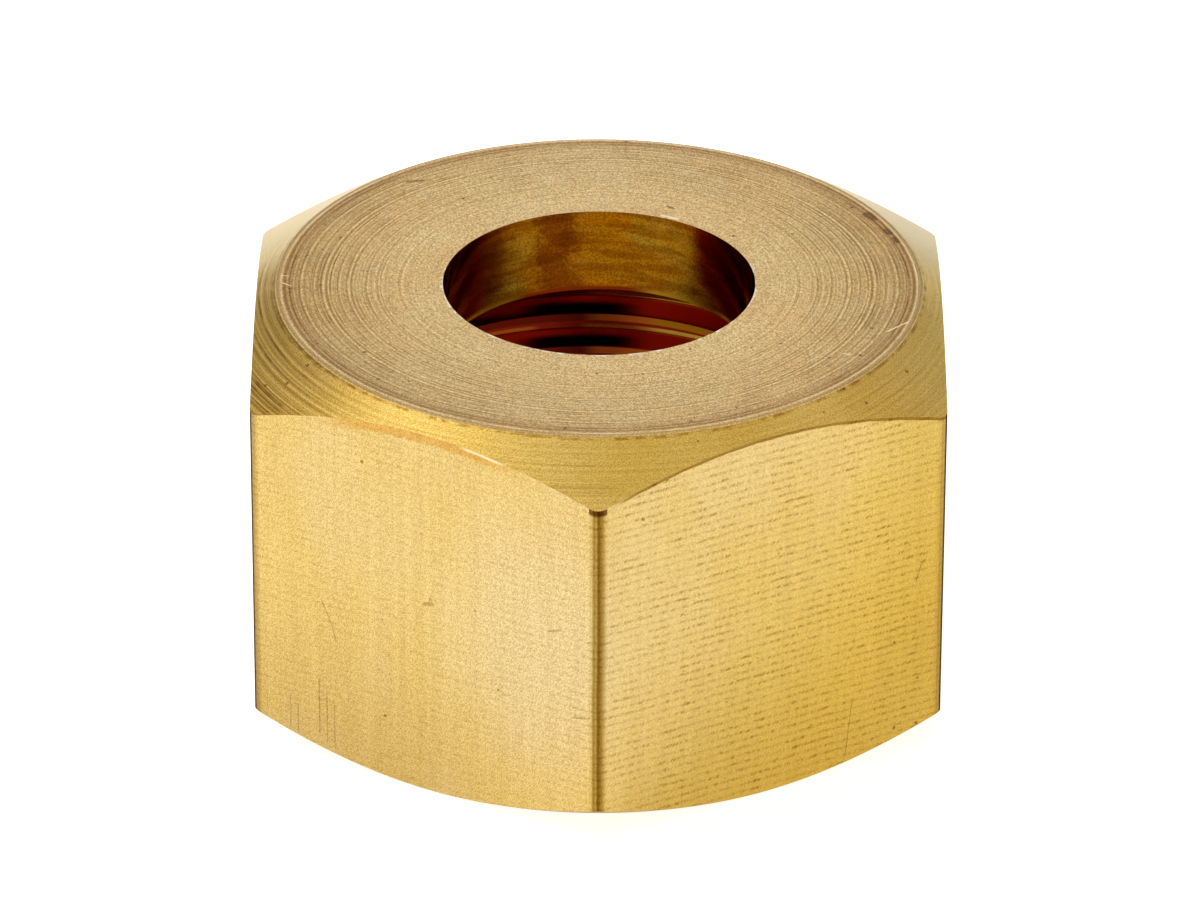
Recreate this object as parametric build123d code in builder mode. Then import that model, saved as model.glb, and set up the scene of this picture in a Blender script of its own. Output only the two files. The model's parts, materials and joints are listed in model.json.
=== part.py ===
from build123d import *
import os
from math import cos, pi, radians, tan

# A union nut, turned in one piece from hexagon bar. A plain tube hole goes through the
# shoulder at the top, and the larger threaded bore below it takes the fitting's male end.
# Millimetres. +Z runs along the bore, the origin is the centre of the threaded end's face,
# and the bar's corners point to +Y and -Y, so that two of the six flats face +X and -X.

# The hexagon bar
across_flats = 27.0
height = 16.3
bar_corner_radius = 0.6

# The turned ends. Each is a flat face inside a shallow cone that takes the bar's corners off.
# A cone's angle is measured from the face. The lower face is nearly as wide as the flats, so
# its cone hardly shortens the middle of a flat.
top_face_diameter = 25.1
top_cone_angle = 32.0
bottom_face_diameter = 26.8
bottom_cone_angle = 32.0

# The tube hole, as long as the shoulder that the tube's collar pulls against is thick
tube_hole_diameter = 12.3
shoulder_thickness = 3.5

# The threaded bore, M20 x 1.5, drilled to the thread's minor diameter from below. The drill's
# point leaves the shoulder's underside conical.
thread_major_diameter = 20.0
thread_pitch = 1.5
drill_point_angle = 118.0
entry_countersink_diameter = 20.6
entry_countersink_angle = 90.0

# How far the lathe's cuts run past the stock
overrun = 1.0

# Worked out from the sizes above
MINOR_PER_PITCH = 1.0825
thread_minor_diameter = thread_major_diameter - MINOR_PER_PITCH * thread_pitch
stock_radius = across_flats / 2 / cos(pi / 6) + overrun
tube_hole_radius = tube_hole_diameter / 2
thread_minor_radius = thread_minor_diameter / 2
entry_radius = entry_countersink_diameter / 2
shoulder_z = height - shoulder_thickness


def cone_rise(inner_radius, outer_radius, angle_from_face):
    """How far a cone climbs along the axis between two radii."""
    return (outer_radius - inner_radius) * tan(radians(angle_from_face))


top_cone_rise = cone_rise(top_face_diameter / 2, stock_radius, top_cone_angle)
bottom_cone_rise = cone_rise(bottom_face_diameter / 2, stock_radius, bottom_cone_angle)
drill_point_rise = cone_rise(
    tube_hole_radius, thread_minor_radius, 90 - drill_point_angle / 2
)
entry_depth = cone_rise(thread_minor_radius, entry_radius, 90 - entry_countersink_angle / 2)

with BuildPart() as union_nut:
    # The bar, with the small radius that drawn bar has along each corner
    with BuildSketch() as bar_section:
        RegularPolygon(across_flats / 2, side_count=6, major_radius=False, rotation=30)
        fillet(bar_section.vertices(), radius=bar_corner_radius)
    extrude(amount=height)

    # Both ends turned in one setting: the bar keeps only what lies inside this profile, and
    # each cone leaves a curved shoulder line on every flat
    with BuildSketch(Plane.XZ) as turned_profile:
        with BuildLine():
            Polyline(
                (0, 0),
                (bottom_face_diameter / 2, 0),
                (stock_radius, bottom_cone_rise),
                (stock_radius, height - top_cone_rise),
                (top_face_diameter / 2, height),
                (0, height),
                close=True,
            )
        make_face()
    revolve(axis=Axis.Z, mode=Mode.INTERSECT)

    # The stepped bore, from the countersunk mouth up through the drill point to the tube hole
    with BuildSketch(Plane.XZ) as bore_profile:
        with BuildLine():
            Polyline(
                (0, 0),
                (entry_radius, 0),
                (thread_minor_radius, entry_depth),
                (thread_minor_radius, shoulder_z - drill_point_rise),
                (tube_hole_radius, shoulder_z),
                (tube_hole_radius, height),
                (0, height),
                close=True,
            )
        make_face()
    revolve(axis=Axis.Z, mode=Mode.SUBTRACT)

union_nut.part.label = "union_nut"

os.makedirs("parts", exist_ok=True)
export_step(union_nut.part, "parts/union_nut.step")

print(f"thread wall: radius {thread_minor_radius:.3f}, z {entry_depth:.3f} to "
      f"{shoulder_z - drill_point_rise:.3f}")
print(f"tube hole: radius {tube_hole_radius:.3f}, z {shoulder_z:.3f} to {height:.3f}")
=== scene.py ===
# %% [markdown]
# # A brass union nut
# The nut is turned in one piece from hexagon bar. A plain tube hole goes through a thick shoulder, a
# larger threaded bore opens below it, and both ends are turned to shallow cones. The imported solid
# gives its sizes, and this file cuts the same nut again with its thread, its broken edges and the
# finish that each tool left on it.

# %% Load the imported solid
import bpy
import json
from math import cos, pi, radians, sin, tan
from mathutils import Matrix, Vector


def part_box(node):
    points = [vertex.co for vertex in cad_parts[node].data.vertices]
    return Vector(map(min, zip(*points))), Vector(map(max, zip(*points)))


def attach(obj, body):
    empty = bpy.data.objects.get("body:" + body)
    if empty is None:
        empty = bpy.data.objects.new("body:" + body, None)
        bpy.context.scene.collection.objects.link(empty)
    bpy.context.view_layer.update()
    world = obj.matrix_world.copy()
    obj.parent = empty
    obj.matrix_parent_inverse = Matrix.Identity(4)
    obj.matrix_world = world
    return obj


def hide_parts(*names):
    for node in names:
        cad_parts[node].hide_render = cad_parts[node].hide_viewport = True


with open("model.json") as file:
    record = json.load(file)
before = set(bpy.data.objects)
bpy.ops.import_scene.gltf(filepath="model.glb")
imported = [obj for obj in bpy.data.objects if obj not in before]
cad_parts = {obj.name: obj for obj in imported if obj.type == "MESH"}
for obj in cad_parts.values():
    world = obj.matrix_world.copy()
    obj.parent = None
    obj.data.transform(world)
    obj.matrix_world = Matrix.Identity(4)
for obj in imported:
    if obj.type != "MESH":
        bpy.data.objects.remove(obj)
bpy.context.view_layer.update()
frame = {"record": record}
low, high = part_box("union_nut")
mounts = {mount["name"]: mount for mount in frame["record"]["mounts"]}

# %% [markdown]
# ## Sizes
# The solid's box gives the wrench size and the height, and the record's mounts give the two bores.
# The other sizes are the drawing's own: two shallow cones, a drill point's cone under the shoulder,
# and an M20 x 1.5 thread. Everything is in metres, so a size in millimetres is multiplied by MM.

# %% Sizes
MM = 0.001
ACROSS_FLATS = high[0] - low[0]
HEIGHT = high[2] - low[2]
CORNER_RADIUS = 0.6 * MM
TOP_FACE_RADIUS = 12.55 * MM
BOTTOM_FACE_RADIUS = 13.4 * MM
CONE_ANGLE = radians(32.0)
TUBE_RADIUS = mounts["tube_hole"]["dims"]["r_mm"] * MM
SHOULDER_Z = HEIGHT - mounts["tube_hole"]["dims"]["length_mm"] * MM
MINOR_RADIUS = mounts["thread"]["dims"]["r_mm"] * MM
MOUTH_RADIUS = 10.3 * MM
DRILL_POINT_SLOPE = radians(31.0)
PITCH = 1.5 * MM
print(f"{ACROSS_FLATS / MM:.2f} mm across flats, {HEIGHT / MM:.2f} mm high")
print(f"tube hole radius {TUBE_RADIUS / MM:.2f} mm, thread's minor radius {MINOR_RADIUS / MM:.3f} mm")

# %% [markdown]
# ## Helpers for the bench
# An operator works on whatever is selected, so each step first deselects everything and then
# selects its own object, faces or edges. Faces are picked in code by where they lie and which way
# they look, as one would click them by hand.

# %% Selecting
def deselect():
    """Leaves edit mode and selects nothing."""
    if bpy.context.object and bpy.context.object.mode != "OBJECT":
        bpy.ops.object.mode_set(mode="OBJECT")
    bpy.ops.object.select_all(action="DESELECT")


def work_on(thing):
    """Makes one object the active and only selected one."""
    deselect()
    thing.select_set(True)
    bpy.context.view_layer.objects.active = thing


def start_picking(thing, kind):
    """Works on one object, and gets ready to pick its faces or edges with none selected yet."""
    work_on(thing)
    bpy.ops.object.mode_set(mode="EDIT")
    bpy.ops.mesh.select_mode(type=kind)
    bpy.ops.mesh.select_all(action="DESELECT")
    bpy.ops.object.mode_set(mode="OBJECT")


def select_faces(thing, wanted):
    """Goes into edit mode with the faces selected whose centre and normal pass the test."""
    start_picking(thing, "FACE")
    for face in thing.data.polygons:
        face.select = wanted(face.center, face.normal)
    bpy.ops.object.mode_set(mode="EDIT")


def select_edges(thing, wanted):
    """Goes into edit mode with the edges selected whose two ends pass the test."""
    start_picking(thing, "EDGE")
    for edge in thing.data.edges:
        edge.select = wanted(*(thing.data.vertices[index].co for index in edge.vertices))
    bpy.ops.object.mode_set(mode="EDIT")


# %% [markdown]
# ## Modifiers and cuts
# A modifier only changes the mesh itself once it is applied. A cut is a Boolean modifier with a
# second closed mesh as its tool. The exact solver copes with faces that touch, and the tool is
# removed as soon as it has cut, as a tool that is put away.

# %% Modifiers and cuts
def apply_modifier(thing, modifier):
    """Applies a modifier, so that the mesh itself has the new shape."""
    work_on(thing)
    bpy.ops.object.modifier_apply(modifier=modifier.name)


def cut(thing, tool, operation):
    """Cuts one closed mesh with another, and uses the tool up."""
    modifier = thing.modifiers.new("cut", "BOOLEAN")
    modifier.operation = operation
    modifier.solver = "EXACT"
    modifier.object = tool
    apply_modifier(thing, modifier)
    bpy.data.objects.remove(tool, do_unlink=True)
    print(f"{thing.name}: {operation.lower()}, {len(thing.data.polygons)} faces")


# %% [markdown]
# ## Round tools
# Whatever a lathe does is round about the nut's axis. A round tool starts as a bar with many sides,
# and its end faces are extruded and scaled to draw each cone and step, as on a turned drawing. The
# side count divides evenly by six, so every flat of the hexagon is cut alike.

# %% Round tools
ROUND_STEPS = 288
HAIR = 0.0001 * MM
print(f"round tools have {ROUND_STEPS} sides, {ROUND_STEPS // 6} to each flat of the hexagon")


def add_bar(name, radius, bottom, top, sides=ROUND_STEPS):
    """A bar along the nut's axis, round unless it's given few sides."""
    deselect()
    bpy.ops.mesh.primitive_cylinder_add(
        vertices=sides, radius=radius, depth=top - bottom, location=(0, 0, (top + bottom) / 2)
    )
    bar = bpy.context.object
    bar.name = name
    bpy.ops.object.transform_apply(location=True, rotation=True, scale=True)
    return bar


def extrude_end(bar, rise, new_radius):
    """Extrudes the upper end, or the lower one where rise is negative, and gives it a new radius."""
    side = 1 if rise > 0 else -1
    end_z = max(side * vertex.co.z for vertex in bar.data.vertices) - HAIR
    rim = [vertex.co for vertex in bar.data.vertices if side * vertex.co.z > end_z]
    widening = new_radius / max(Vector(point[:2]).length for point in rim)
    select_faces(bar, lambda centre, normal: side * normal.z > 0.99 and side * centre.z > end_z)
    bpy.ops.mesh.extrude_region_move(TRANSFORM_OT_translate={"value": (0, 0, rise)})
    bpy.ops.transform.resize(value=(widening, widening, 1))
    bpy.ops.object.mode_set(mode="OBJECT")


# %% [markdown]
# ## The bar
# The blank is a sawn length of drawn hexagon bar. A six-sided cylinder is that bar, and drawing
# leaves a small radius along each of its corners, so the six upright edges are bevelled.

# %% Hexagon bar
SHARP_CORNER = ACROSS_FLATS / 2 / cos(pi / 6)
CORNER_SEGMENTS = 6
nut = add_bar("union_nut_brass", SHARP_CORNER, 0, HEIGHT, sides=6)
select_edges(nut, lambda start, end: abs(start.z - end.z) > HEIGHT / 2)
bpy.ops.mesh.bevel(offset=CORNER_RADIUS * tan(pi / 6), segments=CORNER_SEGMENTS, profile=0.5)
bpy.ops.object.mode_set(mode="OBJECT")
print("bar:", len(nut.data.polygons), "faces")

# %% [markdown]
# ## The turned ends
# Both ends are turned in the lathe. What the bar keeps is what lies inside one round shape, a
# cylinder wider than the corners with a shallow cone at each end. Cutting with that shape gives the
# curved shoulder line on every flat by itself. At the rim the tool leaves a narrow second cone.

# %% Turn both ends
STOCK_RADIUS = SHARP_CORNER + 1 * MM
RIM_WIDTH = 0.2 * MM
RIM_ANGLE = radians(14.0)
rim_rise = RIM_WIDTH * tan(RIM_ANGLE)
top_rise = (STOCK_RADIUS - TOP_FACE_RADIUS - RIM_WIDTH) * tan(CONE_ANGLE)
bottom_rise = (STOCK_RADIUS - BOTTOM_FACE_RADIUS) * tan(CONE_ANGLE)
turned = add_bar("turned_shape", STOCK_RADIUS, bottom_rise, HEIGHT - rim_rise - top_rise)
extrude_end(turned, top_rise, TOP_FACE_RADIUS + RIM_WIDTH)
extrude_end(turned, rim_rise, TOP_FACE_RADIUS)
extrude_end(turned, -bottom_rise, BOTTOM_FACE_RADIUS)
cut(nut, turned, "INTERSECT")

# %% [markdown]
# ## The stepped bore
# One drill makes the tube hole and a larger one the bore for the thread. The larger drill's point
# leaves the shoulder's underside conical, and a countersink opens the mouth. One round tool with
# all of these steps cuts the bore in one go, and runs past both faces so that the cut is clean.

# %% Drill the bore
OVERRUN = 1 * MM
mouth_depth = MOUTH_RADIUS - MINOR_RADIUS
point_rise = (MINOR_RADIUS - TUBE_RADIUS) * tan(DRILL_POINT_SLOPE)
drill = add_bar("stepped_drill", MINOR_RADIUS, mouth_depth, SHOULDER_Z - point_rise)
extrude_end(drill, point_rise, TUBE_RADIUS)
extrude_end(drill, HEIGHT - SHOULDER_Z + OVERRUN, TUBE_RADIUS)
extrude_end(drill, -mouth_depth, MOUTH_RADIUS)
extrude_end(drill, -OVERRUN, MOUTH_RADIUS)
cut(nut, drill, "DIFFERENCE")
print(f"threaded wall from z {mouth_depth / MM:.2f} to {(SHOULDER_Z - point_rise) / MM:.2f} mm")

# %% [markdown]
# ## Edge breaks
# No machined edge is perfectly sharp. A very small bevel on every crease catches the light as a thin
# line, which is what makes a metal part look solid. Only edges that turn by more than 24 degrees
# get it, so the bar's rounded corners and the round walls stay as they are.

# %% Break the edges
EDGE_WIDTH = 0.05 * MM
CREASE_LIMIT = radians(24)
edge_break = nut.modifiers.new("edge_break", "BEVEL")
edge_break.width = EDGE_WIDTH
edge_break.segments = 2
edge_break.limit_method = "ANGLE"
edge_break.angle_limit = CREASE_LIMIT
apply_modifier(nut, edge_break)
print("edges broken:", len(nut.data.polygons), "faces")

# %% [markdown]
# ## The thread
# A tap cuts the thread: a helical ridge with 60 degree flanks and a narrow flat at its crest. The
# ridge is a four-sided section that a Screw modifier winds up the axis, one pitch a turn, against
# the clock as seen from above, which makes it right-hand. A tap's first turns are ground down to a
# lead, so the ridge is first trimmed by a round blank with a conical end, and the groove it cuts
# fades out below the shoulder.

# %% Wind the tap's ridge
THREAD_STEPS = 144
THREAD_TURNS = 9
TURNS_BELOW = 7
MAJOR_RADIUS = 10.0 * MM
CREST_HALF = 0.135 * MM
TAP_INNER = MINOR_RADIUS - 0.12 * MM
PHASE_Z = 9.2 * MM
flank_half = CREST_HALF + (MAJOR_RADIUS - TAP_INNER) * tan(radians(30))
section = [(TAP_INNER, -flank_half), (MAJOR_RADIUS, -CREST_HALF), (MAJOR_RADIUS, CREST_HALF),
           (TAP_INNER, flank_half)]
start_z = PHASE_Z - TURNS_BELOW * PITCH
section_edges = [(0, 1), (1, 2), (2, 3), (3, 0)]
ridge_highlight = bpy.data.meshes.new("tap")
ridge_highlight.from_pydata([(0, radius, start_z + z) for radius, z in section], section_edges, [])
tap = bpy.data.objects.new("tap", ridge_highlight)
bpy.context.collection.objects.link(tap)
winding = tap.modifiers.new("winding", "SCREW")
winding.axis = "Z"
winding.angle = 2 * pi
winding.screw_offset = PITCH
winding.iterations = THREAD_TURNS
winding.steps = THREAD_STEPS
winding.render_steps = THREAD_STEPS
apply_modifier(tap, winding)
print("tap:", len(tap.data.polygons), "faces")

# %% [markdown]
# ## The tap's lead
# The wound ridge is open at its two ends, and a Boolean needs a closed mesh, so both ends are
# filled. The blank that grinds the lead is one more round tool: a bar a little wider than the tap,
# with a cone on top that runs in to less than the bore. What is left of the ridge cuts the bore.

# %% Close the ridge, grind its lead, and tap the bore
LEAD_START = 10.8 * MM
LEAD_RISE = 0.75 * MM
BLANK_BOTTOM = -2.5 * MM
BLANK_SPARE = 0.5 * MM
NECK_RISE = 0.2 * MM
start_picking(tap, "EDGE")
bpy.ops.object.mode_set(mode="EDIT")
bpy.ops.mesh.select_non_manifold()
bpy.ops.mesh.fill_holes(sides=len(section))
bpy.ops.mesh.select_all(action="SELECT")
bpy.ops.mesh.normals_make_consistent(inside=False)
bpy.ops.object.mode_set(mode="OBJECT")
blank = add_bar("tap_blank", MAJOR_RADIUS + BLANK_SPARE, BLANK_BOTTOM, LEAD_START - NECK_RISE)
extrude_end(blank, NECK_RISE, MAJOR_RADIUS + 0.01 * MM)
extrude_end(blank, LEAD_RISE, TAP_INNER)
cut(tap, blank, "INTERSECT")
heights = [vertex.co.z / MM for vertex in tap.data.vertices]
print(f"tap from z {min(heights):.2f} to {max(heights):.2f} mm")
cut(nut, tap, "DIFFERENCE")

# %% [markdown]
# ## Shading and riding
# Round walls and rolled corners are shaded smooth, and every crease of more than 12 degrees stays
# sharp. A large flat shares its corner points with the small faces round it, so plain smooth
# shading would bend the light across it. Weighted normals let the largest face decide, and the
# flats stay flat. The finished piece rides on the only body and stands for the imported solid.

# %% Shade smooth, ride and replace
SMOOTH_LIMIT = radians(12)
work_on(nut)
bpy.ops.object.shade_smooth_by_angle(angle=SMOOTH_LIMIT)
even_normals = nut.modifiers.new("even_normals", "WEIGHTED_NORMAL")
even_normals.keep_sharp = True
even_normals.weight = 100
apply_modifier(nut, even_normals)
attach(nut, "root")
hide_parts("union_nut")
for axis, letter in enumerate("xyz"):
    places = [vertex.co[axis] / MM for vertex in nut.data.vertices]
    print(f"nut's {letter} from {min(places):.2f} to {max(places):.2f} mm")

# %% [markdown]
# ## Node helpers
# A finish is a small network of nodes. These helpers add a node, feed one of its sockets from
# another socket or from a plain value, do one step of arithmetic, and spread a narrow range of a
# value over zero to one. Each one builds in the network that its sources belong to.

# %% Node helpers
def add_node(tree, kind, **settings):
    """Adds one shader node with its settings."""
    made = tree.nodes.new("ShaderNode" + kind)
    for name, value in settings.items():
        setattr(made, name, value)
    return made


def feed(socket, source):
    """Feeds a socket from another socket, or sets it to a value."""
    if isinstance(source, bpy.types.NodeSocket):
        socket.id_data.links.new(source, socket)
    else:
        socket.default_value = source


def work_out(kind, sources, **settings):
    """Adds a node to its sources' own network, and feeds its first inputs from them in order."""
    tree = next(source.id_data for source in sources if isinstance(source, bpy.types.NodeSocket))
    made = add_node(tree, kind, **settings)
    for socket, source in zip(made.inputs, sources):
        feed(socket, source)
    return made


def calc(operation, *values):
    """One step of arithmetic on numbers."""
    return work_out("Math", values, operation=operation).outputs[0]


def plus(first, second):
    """One number added to another."""
    return calc("ADD", first, second)


def minus(first, second):
    """One number taken from another."""
    return calc("SUBTRACT", first, second)


def times(first, second):
    """One number times another, which also keeps what two masks have in common."""
    return calc("MULTIPLY", first, second)


def calc_points(operation, *values, result=0):
    """One step of arithmetic on points."""
    return work_out("VectorMath", values, operation=operation).outputs[result]


def scaled(point, factor):
    """A point times one number."""
    step = work_out("VectorMath", [point], operation="SCALE")
    feed(step.inputs["Scale"], factor)
    return step.outputs[0]


def split(point):
    """A point's three places, along x, y and z."""
    return tuple(work_out("SeparateXYZ", [point]).outputs)


def spread(value, start, end, low_value=0.0, high_value=1.0):
    """Turns the range start to end into low_value to high_value, with soft ends."""
    sources = (value, start, end, low_value, high_value)
    return work_out("MapRange", sources, interpolation_type="SMOOTHSTEP").outputs[0]


def band(value, start, full, still_full, end):
    """One from full to still_full, and softly down to zero at start and at end."""
    return times(spread(value, start, full), spread(value, end, still_full))


# %% [markdown]
# ## Colours and patterns
# Two colours are mixed by a share. A finish is painted in layers, one after the other: a cover hides
# what lies under it where its mask is one, and a glaze only darkens it. Each layer has a name, which
# its node shows too. A ramp lays several colours along a line. The patterns are noise, read in
# millimetres on Object coordinates, so they stay on the nut.

# %% Colours and patterns
COVER = "MIX"
GLAZE = "MULTIPLY"


def mix(share, first, second, how=COVER):
    """Mixes two colours by a share from zero to one."""
    step = work_out("Mix", [share], data_type="RGBA", blend_type=how)
    feed(step.inputs[6], (*first, 1) if isinstance(first, tuple) else first)
    feed(step.inputs[7], (*second, 1) if isinstance(second, tuple) else second)
    return step.outputs[2]


def paint(colour, layers):
    """Lays layers over a colour in order, each with its name, kind, mask and own colour."""
    for name, kind, mask, layer_colour in layers:
        colour = mix(mask, colour, layer_colour, kind)
        colour.node.label = name
    return colour


def ramp(place, stops):
    """Colours that follow a place from zero to one, each stop a place and its colour."""
    shades = work_out("ValToRGB", [place])
    shades.color_ramp.elements.remove(shades.color_ramp.elements[1])
    for number, (at, colour) in enumerate(stops):
        stop = shades.color_ramp.elements.new(at) if number else shades.color_ramp.elements[0]
        stop.color = (*colour, 1)
    return shades.outputs["Color"]


def noise(point, scale, detail=2.0):
    """Cloudy noise from about 0.3 to 0.7, with scale counted per millimetre."""
    clouds = work_out("TexNoise", [point])
    feed(clouds.inputs["Scale"], scale)
    feed(clouds.inputs["Detail"], detail)
    return clouds.outputs["Fac"]


def noise_along(place, detail=2.0):
    """Noise along one line only."""
    clouds = add_node(place.id_data, "TexNoise", noise_dimensions="1D")
    for name, value in {"W": place, "Scale": 1, "Detail": detail}.items():
        feed(clouds.inputs[name], value)
    return clouds.outputs["Fac"]


def stretch(point, factors):
    """Squeezes or stretches a pattern by a factor on each axis."""
    return calc_points("MULTIPLY", point, factors)


# %% [markdown]
# ## Helpers for groups
# An effect that several finishes share is built once as a node group, like a small machine with
# named inputs and outputs, and every one of them reads the point. The first helper starts a group
# and makes its sockets, and the second places the group in a material with its own values.

# %% Group helpers
def new_group(name, inputs, outputs):
    """Starts a node group, and returns it with its inner ends."""
    group = bpy.data.node_groups.new(name, "ShaderNodeTree")
    for socket_name, kind in {"point": "Vector", **inputs}.items():
        group.interface.new_socket(socket_name, in_out="INPUT", socket_type="NodeSocket" + kind)
    for socket_name in outputs:
        group.interface.new_socket(socket_name, in_out="OUTPUT", socket_type="NodeSocketFloat")
    return group, group.nodes.new("NodeGroupInput").outputs, group.nodes.new("NodeGroupOutput").inputs


def place_group(group, point, **values):
    """Places a node group in the point's own network, with the finish's own values."""
    placed = point.id_data.nodes.new("ShaderNodeGroup")
    placed.node_tree = group
    feed(placed.inputs["point"], point)
    for name, value in values.items():
        feed(placed.inputs[name.replace("_", " ")], value)
    return placed.outputs


# %% [markdown]
# ## Turning rings
# A lathe tool leaves a very fine spiral, which the eye reads as rings. A ring keeps its distance
# from the axis, so noise along that distance alone draws them. Real rings fade in and out, so a
# slow cloud breaks them up. The group puts out the ridges' height and the few rings that came out
# darker, and both the end faces and the cones use it.

# %% Group: turning rings
rings_group, inner, outer = new_group("turning_rings", {"spacing": "Float"}, ["ridges", "dark lines"])
from_axis = calc_points("LENGTH", stretch(inner["point"], (1, 1, 0)), result=1)
wander = times(noise(inner["point"], 0.12, 0), 0.25)
ring_place = calc("DIVIDE", plus(from_axis, wander), inner["spacing"])
feed(outer["ridges"], spread(noise_along(ring_place, 3), 0.28, 0.72))
deep_place = plus(times(ring_place, 0.8), 50)
deep_rings = spread(noise_along(deep_place, 2), 0.54, 0.66)
broken = spread(noise(inner["point"], 0.45, 3), 0.40, 0.62)
feed(outer["dark lines"], times(deep_rings, broken))
print(rings_group.name, len(rings_group.nodes), "nodes")

# %% [markdown]
# ## Grain and pits
# Close up, machined brass is never clean: it has a grain of a few hundredths of a millimetre and a
# scatter of tiny pits. Fine noise makes the grain. Small round cells make the pits, and only a few
# of the cells are kept. Every finish on the nut uses this group at its own size.

# %% Group: grain and pits
grain_group, inner, outer = new_group(
    "grain_and_pits", {"size": "Float", "pit spacing": "Float", "pit size": "Float"}, ["grain", "pits"]
)
PIT_WARP = 0.12
PIT_LUCK = 0.55
fine = noise(inner["point"], calc("DIVIDE", 1.0, inner["size"]), 1)
feed(outer["grain"], spread(fine, 0.40, 0.62))
warp = stretch(fine.node.outputs["Color"], (PIT_WARP,) * 3)
cells = work_out("TexVoronoi", [calc_points("ADD", inner["point"], warp)])
feed(cells.inputs["Scale"], calc("DIVIDE", 1.0, inner["pit spacing"]))
reach = calc("DIVIDE", inner["pit size"], inner["pit spacing"])
luck = work_out("SeparateColor", [cells.outputs["Color"]]).outputs[0]
pit_reach = times(reach, spread(luck, PIT_LUCK, 1.0))
feed(outer["pits"], spread(minus(pit_reach, cells.outputs["Distance"]), 0.0, 0.03))
print(grain_group.name, len(grain_group.nodes), "nodes")

# %% [markdown]
# ## Patches
# Handling and air stain brass unevenly. A cloud with a few octaves gives soft patches, which each
# finish uses to move between a cleaner and a duller colour.

# %% Group: patches
patch_group, inner, outer = new_group("patches", {"size": "Float"}, ["amount"])
clouds = noise(inner["point"], calc("DIVIDE", 1.0, inner["size"]), 4)
feed(outer["amount"], spread(clouds, 0.38, 0.62))
print(patch_group.name, len(patch_group.nodes), "nodes")

# %% [markdown]
# ## Marks
# Scratches, nicks and stains each have their own place on a real part. One group draws a mark round
# a short straight line from start to end: it measures how far a point is from that line, shakes the
# distance a little so that the outline isn't clean, and keeps what lies within the mark's width.

# %% Group: a mark
mark_group, inner, outer = new_group(
    "mark", {"start": "Vector", "end": "Vector", "width": "Float"}, ["mask"]
)
from_start = calc_points("SUBTRACT", inner["point"], inner["start"])
whole = calc_points("SUBTRACT", inner["end"], inner["start"])
along = calc_points("DOT_PRODUCT", from_start, whole, result=1)
squared = calc_points("DOT_PRODUCT", whole, whole, result=1)
share = work_out("Clamp", [calc("DIVIDE", along, squared)]).outputs[0]
away = calc_points("DISTANCE", from_start, scaled(whole, share), result=1)
wavy = times(noise(inner["point"], 4, 3), 0.6)
edge = plus(away, times(wavy, inner["width"]))
reach, core = (times(inner["width"], part) for part in (0.9, 0.5))
feed(outer["mask"], spread(edge, reach, core))


def add_marks(point, marks):
    """The joint mask of several marks, each a start, an end and a width in millimetres."""
    joint = None
    for start, end, width in marks:
        mask = place_group(mark_group, point, start=start, end=end, width=width)["mask"]
        joint = mask if joint is None else calc("MAXIMUM", joint, mask)
    return joint


print(mark_group.name, len(mark_group.nodes), "nodes")

# %% [markdown]
# ## A new metal
# Every finish starts alike: a metal shader with its roughness, and a point that is read on Object
# coordinates and counted in millimetres. Where a tool went round and round, the highlight is drawn
# out across its rings, so those finishes are anisotropic with a tangent that runs round the axis.
# A finish ends alike too: its masks, each times a height in millimetres, add up to one relief that
# tilts the shading through a Bump node.

# %% New metal
def new_metal(name, roughness, anisotropy):
    """A metal material, with its shader, a point in millimetres and the distance from the axis."""
    look = bpy.data.materials.new(name)
    look.use_nodes = True
    tree = look.node_tree
    shader = tree.nodes["Principled BSDF"]
    shader.inputs["Metallic"].default_value = 1
    shader.inputs["Roughness"].default_value = roughness
    if anisotropy:
        shader.inputs["Anisotropic"].default_value = anisotropy
        round_axis = add_node(tree, "Tangent", direction_type="RADIAL", axis="Z")
        feed(shader.inputs["Tangent"], round_axis.outputs["Tangent"])
    point = stretch(add_node(tree, "TexCoord").outputs["Object"], (1 / MM,) * 3)
    from_axis = calc_points("LENGTH", stretch(point, (1, 1, 0)), result=1)
    nut.data.materials.append(look)
    return shader, point, from_axis


def finish_off(shader, colour, relief):
    """Feeds a finish's colour, and tilts its shading by masks with heights in millimetres."""
    feed(shader.inputs["Base Color"], colour)
    height = None
    for mask, rise in relief:
        layer = times(mask, rise)
        height = layer if height is None else plus(height, layer)
    bump = add_node(shader.id_data, "Bump")
    bump.inputs["Distance"].default_value = MM
    feed(bump.inputs["Height"], height)
    feed(shader.inputs["Normal"], bump.outputs["Normal"])
    print(nut.data.materials[-1].name + ":", len(shader.id_data.nodes), "nodes")


TURNED_SHEEN = 0.6
RING_HEIGHT = 0.004
PIT_DEPTH = 0.02
nut.data.materials.clear()
print(f"pits {PIT_DEPTH} mm deep, turning rings {RING_HEIGHT} mm high")

# %% [markdown]
# ## The faced ends
# A facing tool swept across both ends and left a matt, tan surface with fine rings. The rings are
# plainest in the outer third, where the tool ran fastest. On a real nut such an end has also been
# handled, so a few stains and nicks lie on it, each at its own place. They are listed first, as a
# start, an end and a width in millimetres, and the group for marks draws them.

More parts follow.
